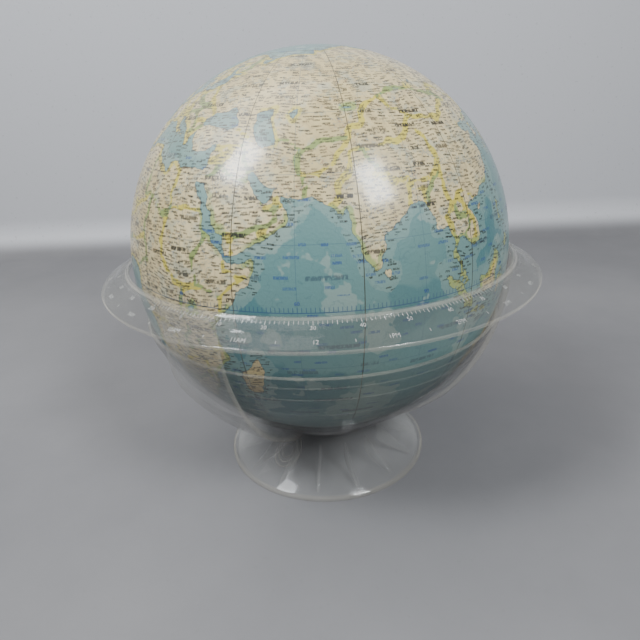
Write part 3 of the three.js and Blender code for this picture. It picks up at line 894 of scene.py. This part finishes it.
def above_floor(outline):
    """Heights given from the ball's centre, as heights above the floor."""
    return [(radius, height + CENTRE_Z / MM) for radius, height in outline]


# ---------------------------------------------------------------- the clear cradle

# The brim's section, as (radius, height from the ball's centre)
BRIM_UNDER = [(156, -4.6), (166, -9.6), (176.6, -15.6), (178, -14.6), (178, -13)]
BRIM_TOP = [(176.8, -11.9), (168, -7.4), (165.4, -5.2), (159.6, -2.4), (157.4, 0.2)]
BRIM_LIP = (155.8, -0.6)

# Distances from the ball's centre, and latitudes on the ball
CUP_INNER = 153.9
CUP_OUTER = 156.5
CUP_RIM_LATITUDE = -17.5
CUP_LINES = (-20.4, -25, -32.5)
HUB_TOP = 156.8
HUB_TOP_LATITUDE = -72
HUB_BOTTOM = 34.5  # above the floor

ARM_AZIMUTHS = (-41, 79, 199)
ARM_HALF_WIDTH = 16  # degrees
ARM_TOP_LEFT = 1  # degrees left of its middle that the arm covers above the rake
ARM_RAKE_TOP = -10  # latitude where its left edge starts to move out
ARM_RAKE_SPAN = 35  # degrees of latitude that the move takes
ARM_THICKNESS = 4
ARM_TOP_LATITUDE = -2
ARM_BOW_LATITUDE = -8
ARM_CLEARANCE = 3.8  # between the ball and the arm at the bow latitude
ARM_BOW = 0.165  # how much closer to the ball the arm comes with each degree further up
ARM_END_LATITUDE = -71
ARM_END_RADIUS = 48.75  # where its foot meets the hub

# Sections of the foot and of a rib, as (radius, height above the floor)
FOOT = [
    (0, 34.2), (50, 34.2), (52.5, 32.6), (58, 28.2), (68, 20.6), (80, 12), (91, 4.6), (93.3, 2.4), (93.3, 0),
    (88.6, 0), (88.6, 1.6), (78, 9), (66, 17.6), (56, 25), (49, 30.4), (46, 31.2), (0, 31.2),
]
RIB = [(52, 27), (52, 12), (60, 6), (84, 2.6), (84, 3.8), (78, 8), (66, 16.6), (56, 24)]
FOOT_EDGE_RADIUS = 91
RIB_COUNT = 15
RIB_PHASE = -7  # azimuth of the first rib
RIB_THICKNESS = 2
RINGS_AZIMUTH = -34
RINGS_RADIUS = 64  # from the axis to the rings' centre
RING_SIZES = (5, 8.5, 12)


def make_brim():
    """A sloping ring with a lip beside the ball and a rolled rim."""
    outline = rounded(BRIM_UNDER + BRIM_TOP + [BRIM_LIP], 0.7)
    turned("brim", above_floor(outline), "horizon_ring", CLEAR, brim_edge)


def line_height(lat):
    """How far the cup's fine raised lines stand out at a latitude, in millimetres."""
    height, width = 0.35, 0.22
    return sum(height * math.exp(-((lat - line) / width) ** 2) for line in CUP_LINES)


def on_section(distance, lat):
    """(radius, height from the ball's centre) at a distance from that centre and a latitude."""
    angle = math.radians(lat)
    return distance * math.cos(angle), distance * math.sin(angle)


def make_cup():
    """A bowl round the ball's lower part, with a rounded rim and fine raised lines."""
    rim, rows, inset, rise = CUP_RIM_LATITUDE, 60, 0.35, 0.17
    outer = [(CUP_OUTER + line_height(lat), lat) for lat in np.linspace(rim, -90, rows)]
    for line in CUP_LINES:
        for step in (-0.45, -0.25, -0.1, 0, 0.1, 0.25, 0.45):
            outer.append((CUP_OUTER + line_height(line + step), line + step))
    outer.sort(key=lambda item: -item[1])
    inner = [(CUP_INNER, lat) for lat in np.linspace(-90, rim, rows)]
    outline = [(CUP_INNER + inset, rim + rise), (CUP_OUTER - inset, rim + rise)] + outer + inner
    points = [on_section(distance, lat) for distance, lat in outline]
    points = [(0 if radius < ON_AXIS else radius, height) for radius, height in points]
    # The two points on the axis, outer then inner, become the outline's end and start
    start = next(i for i, point in enumerate(points) if point[0] == 0) + 1
    turned("cup", above_floor(points[start:] + points[:start]), "cradle_cup", CLEAR_THIN, cup_edge)


def make_hub():
    """A boss whose top follows the cup, with its lower and upper corners taken off."""
    chamfer, lip, lip_drop = 1, 0.5, 0.16
    side, height = on_section(HUB_TOP, HUB_TOP_LATITUDE)
    rim = height + CENTRE_Z / MM
    points = [
        (0, HUB_BOTTOM), (side - chamfer, HUB_BOTTOM), (side, HUB_BOTTOM + chamfer),
        (side, rim - lip), (side - lip, rim - lip_drop),
    ]
    points += above_floor(on_section(HUB_TOP, lat) for lat in np.linspace(HUB_TOP_LATITUDE - 1, -90, 12))
    points[-1] = (0, points[-1][1])
    turned("hub", points, "cradle_hub", CLEAR_LOW)


def arm_distance(lat):
    """From the ball's centre to the arm's inner face."""
    return RADIUS / MM + ARM_CLEARANCE - ARM_BOW * (lat - ARM_BOW_LATITUDE)


def arm_stations():
    """(inner, outer, share of the rake) down the arm. Points are (radius, height from the ball's centre)."""
    slope, gap, end_rise = 0.5, 0.5, 0.5

    def under_brim(radius):
        start_radius, start_height = BRIM_UNDER[0]
        return start_height - slope * (radius - start_radius) - gap

    top = arm_distance(ARM_TOP_LATITUDE)
    stations = [((top, under_brim(top)), (top + ARM_THICKNESS, under_brim(top + ARM_THICKNESS)), 0.0)]
    for lat in np.linspace(ARM_BOW_LATITUDE, ARM_END_LATITUDE, 43):
        inner = arm_distance(lat)
        rake = min(max((ARM_RAKE_TOP - lat) / ARM_RAKE_SPAN, 0), 1)
        stations.append((on_section(inner, lat), on_section(inner + ARM_THICKNESS, lat), rake))
    end = stations[-1][0][1] + end_rise
    stations.append(((ARM_END_RADIUS, end), (ARM_END_RADIUS, end - ARM_THICKNESS), 1.0))
    return stations


def make_arms():
    """Bowed strips from under the brim to the hub, which get wider to the left on the way down."""
    columns = 11  # corners across each of the arm's faces
    for number, azimuth in enumerate(ARM_AZIMUTHS, 1):
        vertices, faces, rows = [], [], []
        for inner, outer, rake in arm_stations():
            left = azimuth - ARM_TOP_LEFT - (ARM_HALF_WIDTH - ARM_TOP_LEFT) * rake
            right = azimuth + ARM_HALF_WIDTH
            row = []
            for radius, height in (inner, outer):
                for turn in np.radians(np.linspace(left, right, columns)):
                    x, y, z = around(radius, turn, height)
                    row.append(len(vertices))
                    vertices.append((x, y, CENTRE_Z + z))
            rows.append(row[:columns] + row[columns:][::-1])
        for a, b in zip(rows, rows[1:]):
            for k in range(len(a)):
                m = (k + 1) % len(a)
                faces.append((a[k], a[m], b[m], b[k]))
        faces.append(rows[0])
        faces.append(rows[-1][::-1])
        obj = new_mesh_object(f"arm_{number}", vertices, faces)
        bevel_sharp_edges(obj, 0.6 * MM)
        finish_clear(obj, f"cradle_arm_{number}", CLEAR_LOW, arm_edge)


def bevel_sharp_edges(obj, width, segments=2):
    least = math.radians(45)
    mesh = bmesh.new()
    mesh.from_mesh(obj.data)
    bmesh.ops.recalc_face_normals(mesh, faces=mesh.faces)
    sharp = [edge for edge in mesh.edges if len(edge.link_faces) == 2 and edge.calc_face_angle() > least]
    bmesh.ops.bevel(
        mesh, geom=sharp, offset=width, segments=segments, profile=0.5, affect="EDGES", clamp_overlap=True,
    )
    mesh.to_mesh(obj.data)
    mesh.free()


def make_foot():
    """The section starts and ends on the axis, and only the corners between are rounded."""
    body = rounded(FOOT[1:-1], 1.0)
    turned("foot", [FOOT[0]] + body + [FOOT[-1]], "foot_bell", CLEAR_LOW, foot_edge)


def make_foot_rings():
    """Plain raised rings on the foot's flare."""
    flare = sorted(FOOT[1:8])
    steps, sides, thickness, lift = 48, 6, 0.35, 0.1
    shapes = []
    for size in RING_SIZES:
        points, faces = [], []
        for k in range(steps):
            angle = 2 * math.pi * k / steps
            for m in range(sides):
                turn = 2 * math.pi * m / sides
                reach = size + thickness * math.cos(turn)
                radius = RINGS_RADIUS + reach * math.cos(angle)
                azimuth = math.radians(RINGS_AZIMUTH) + reach * math.sin(angle) / radius
                height = np.interp(radius, *zip(*flare)) + (lift + thickness * (1 + math.sin(turn)))
                points.append(around(radius, azimuth, height))
                a, b = k * sides + m, k * sides + (m + 1) % sides
                c, d = ((k + 1) % steps) * sides + (m + 1) % sides, ((k + 1) % steps) * sides + m
                faces.append((d, c, b, a))
        shapes.append((points, faces))
    # The rings wear the edge veil, whose pale colour is painted highlight.
    rings = ink_piece("foot_rings", shapes, CLEAR_EDGE_HIGHLIGHT, "stand")
    rings.data.shade_smooth()


def make_ribs():
    """Upright plates under the foot's flare."""
    half = RIB_THICKNESS / 2
    for i in range(RIB_COUNT):
        turn = math.radians(RIB_PHASE + i * 360 / RIB_COUNT)
        vertices = []
        for side in (-half, half):
            for radius, height in RIB:
                x = radius * math.sin(turn) + side * math.cos(turn)
                y = -radius * math.cos(turn) + side * math.sin(turn)
                vertices.append((x * MM, y * MM, height * MM))
        count = len(RIB)
        faces = [tuple(range(count)), tuple(range(2 * count - 1, count - 1, -1))]
        for k in range(count):
            m = (k + 1) % count
            faces.append((k, count + k, count + m, m))
        obj = new_mesh_object(f"rib_{i + 1:02d}", vertices, faces)
        bevel_sharp_edges(obj, 0.25 * MM, 1)
        finish_clear(obj, f"foot_rib_{i + 1:02d}", CLEAR_LOW)


# ---------------------------------------------------------------- printing: scales and numbers

INK_LIFT = 0.03  # above the surface that it is printed on
INK_THICKNESS = 0.08
CAPITAL_SHARE = 0.7  # of the font's size
DEGREE_TICK = (159.3, 161.3, 0.28)  # start radius, end radius, width
FIVE_DEGREE_TICK = (159.3, 162.0, 0.4)
NUMBER_RADIUS = 163.9
NUMBER_HEIGHT = 2.6
HOUR_RADIUS = 172.2
HOUR_HEIGHT = 2.8
HALF_HOUR_MARK = (HOUR_RADIUS - 0.9, HOUR_RADIUS + 0.9, 0.4)
SCALE_START = 32  # the number at the very front
HOUR_START = -1.5  # azimuth of the noon mark
EQUATOR_NUMBER_LATITUDE = 2.2
EQUATOR_NUMBER_HEIGHT = 2.4


def brim_height(radius):
    """Height of the brim's top, above the floor."""
    return np.interp(radius, *zip(*sorted(BRIM_TOP + [BRIM_UNDER[-1]]))) + CENTRE_Z / MM


def on_brim(azimuth, radius, lift):
    """The point in metres at a lift above the underside of the brim's ink."""
    return around(radius, math.radians(azimuth), brim_height(radius) + INK_LIFT + lift)


def text_shape(text, height):
    """The text's outline as a thin closed solid: points in millimetres, centred, and faces."""
    curve = bpy.data.curves.new("lettering", "FONT")
    curve.body = text
    curve.size = height / CAPITAL_SHARE
    curve.align_x = "CENTER"
    curve.align_y = "CENTER"
    curve.extrude = INK_THICKNESS / 2
    curve.resolution_u = 3
    obj = bpy.data.objects.new("lettering", curve)
    bpy.context.scene.collection.objects.link(obj)
    bpy.context.view_layer.update()
    mesh = bpy.data.meshes.new_from_object(obj.evaluated_get(bpy.context.evaluated_depsgraph_get()))
    joined = bmesh.new()
    joined.from_mesh(mesh)
    bmesh.ops.remove_doubles(joined, verts=joined.verts, dist=1e-5)
    bmesh.ops.recalc_face_normals(joined, faces=joined.faces)
    points = [tuple(v.co) for v in joined.verts]
    faces = [tuple(v.index for v in f.verts) for f in joined.faces]
    joined.free()
    bpy.data.objects.remove(obj)
    bpy.data.curves.remove(curve)
    bpy.data.meshes.remove(mesh)
    return points, faces


def ink_piece(name, shapes, material, body):
    """Joins shapes, each a list of points in metres and its faces, into one printed piece."""
    vertices, faces = [], []
    for points, shape_faces in shapes:
        base = len(vertices)
        vertices += points
        faces += [tuple(base + k for k in face) for face in shape_faces]
    obj = new_mesh_object(name, vertices, faces)
    obj.data.materials.append(material)
    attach(obj, body)
    return obj


def brim_text(text, azimuth, radius, height):
    """Lettering that follows the brim and reads from outside it."""
    points, faces = text_shape(text, height)
    placed = []
    for x, y, z in points:
        turn = azimuth + math.degrees(x / radius)
        placed.append(on_brim(turn, radius - y, z + INK_THICKNESS / 2))
    return placed, faces


def brim_bar(azimuth, start, end, width):
    """A thin radial bar of three sections of four corners. It bends with the brim's top."""
    half = math.degrees(width / 2 / start)
    points = []
    for radius in np.linspace(start, end, 3):
        for turn in (azimuth - half, azimuth + half):
            for lift in (0, INK_THICKNESS):
                points.append(on_brim(turn, radius, lift))
    faces = [(0, 1, 3, 2), (8, 10, 11, 9)]
    for base in (0, 4):
        for a, b in ((0, 1), (1, 3), (3, 2), (2, 0)):
            faces.append((base + a, base + 4 + a, base + 4 + b, base + b))
    return points, faces


def make_brim_scales():
    """Degrees on the inner side, with a number every ten, and hours on the outer side."""
    ticks, numbers, hours, half_hours = [], [], [], []
    for degree in range(360):
        azimuth = degree - SCALE_START
        ticks.append(brim_bar(azimuth, *(DEGREE_TICK if degree % 5 else FIVE_DEGREE_TICK)))
        if degree % 10 == 0:
            numbers.append(brim_text(str(degree), azimuth, NUMBER_RADIUS, NUMBER_HEIGHT))
    for hour in range(24):
        azimuth = HOUR_START + (hour - 12) * 15
        label = f"{hour % 12}{'AM' if hour < 12 else 'PM'}" if hour % 12 else "12"
        hours.append(brim_text(label, azimuth, HOUR_RADIUS, HOUR_HEIGHT))
        half_hours.append(brim_bar(azimuth + 7.5, *HALF_HOUR_MARK))
    pieces = (ticks, numbers, hours, half_hours)
    for name, shapes in zip(("degree_ticks", "degree_numbers", "hour_numbers", "half_hour_marks"), pieces):
        ink_piece(name, shapes, WHITE_INK, "stand")


def make_equator_numbers():
    """A blue longitude every 30 degrees, on the ball just above the equator."""
    shapes = []
    for longitude in range(-180, 180, 30):
        points, faces = text_shape(str(abs(longitude)), EQUATOR_NUMBER_HEIGHT)
        local = np.array(points)
        lon = longitude + np.degrees(local[:, 0] / (RADIUS / MM))
        lat = EQUATOR_NUMBER_LATITUDE + np.degrees(local[:, 1] / (RADIUS / MM))
        distance = RADIUS + (INK_LIFT + INK_THICKNESS / 2 + local[:, 2]) * MM
        shapes.append(([tuple(p) for p in place_on_ball(lon, lat, distance)], faces))
    ink_piece("equator_numbers", shapes, BLUE_INK, "ball")


# ---------------------------------------------------------------- putting it together

# A clear material's numbers are its veil's opacity face on and at a slant
MAP = map_material()
BOARD = board_material()
CLEAR = clear_material("clear_plastic", 0.13, 0.5, (0.12, 0.12, 0.108))
CLEAR_LOW = clear_material("clear_plastic_low", 0.085, 0.5, (0.46, 0.46, 0.44))
CLEAR_THIN = clear_material("clear_plastic_thin", 0.11, 0.4, (0.09, 0.1, 0.098))
# The edge veil's pale beige is painted highlight: the light that gathers in the plastic's narrow edges and
# raised rings.
CLEAR_EDGE_HIGHLIGHT = clear_material("clear_plastic_edge_highlight", 0.2, 0.45, (0.5, 0.47, 0.39))
WHITE_INK = ink_material("white_ink", (0.2, 0.2, 0.19), (0.38, 0.38, 0.36), 0.5)
BLUE_INK = ink_material("blue_ink", (0.02, 0.05, 0.2), (0.05, 0.1, 0.3), 0.3)

make_camera()
make_lights()
make_floor()
make_gores()
make_polar_discs()
make_brim()
make_cup()
make_hub()
make_arms()
make_foot()
make_ribs()
make_foot_rings()
make_brim_scales()
make_equator_numbers()

for node in ("globe_north_shell", "globe_south_shell", "globe_joint_band"):
    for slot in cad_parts[node].material_slots:
        slot.material = BOARD
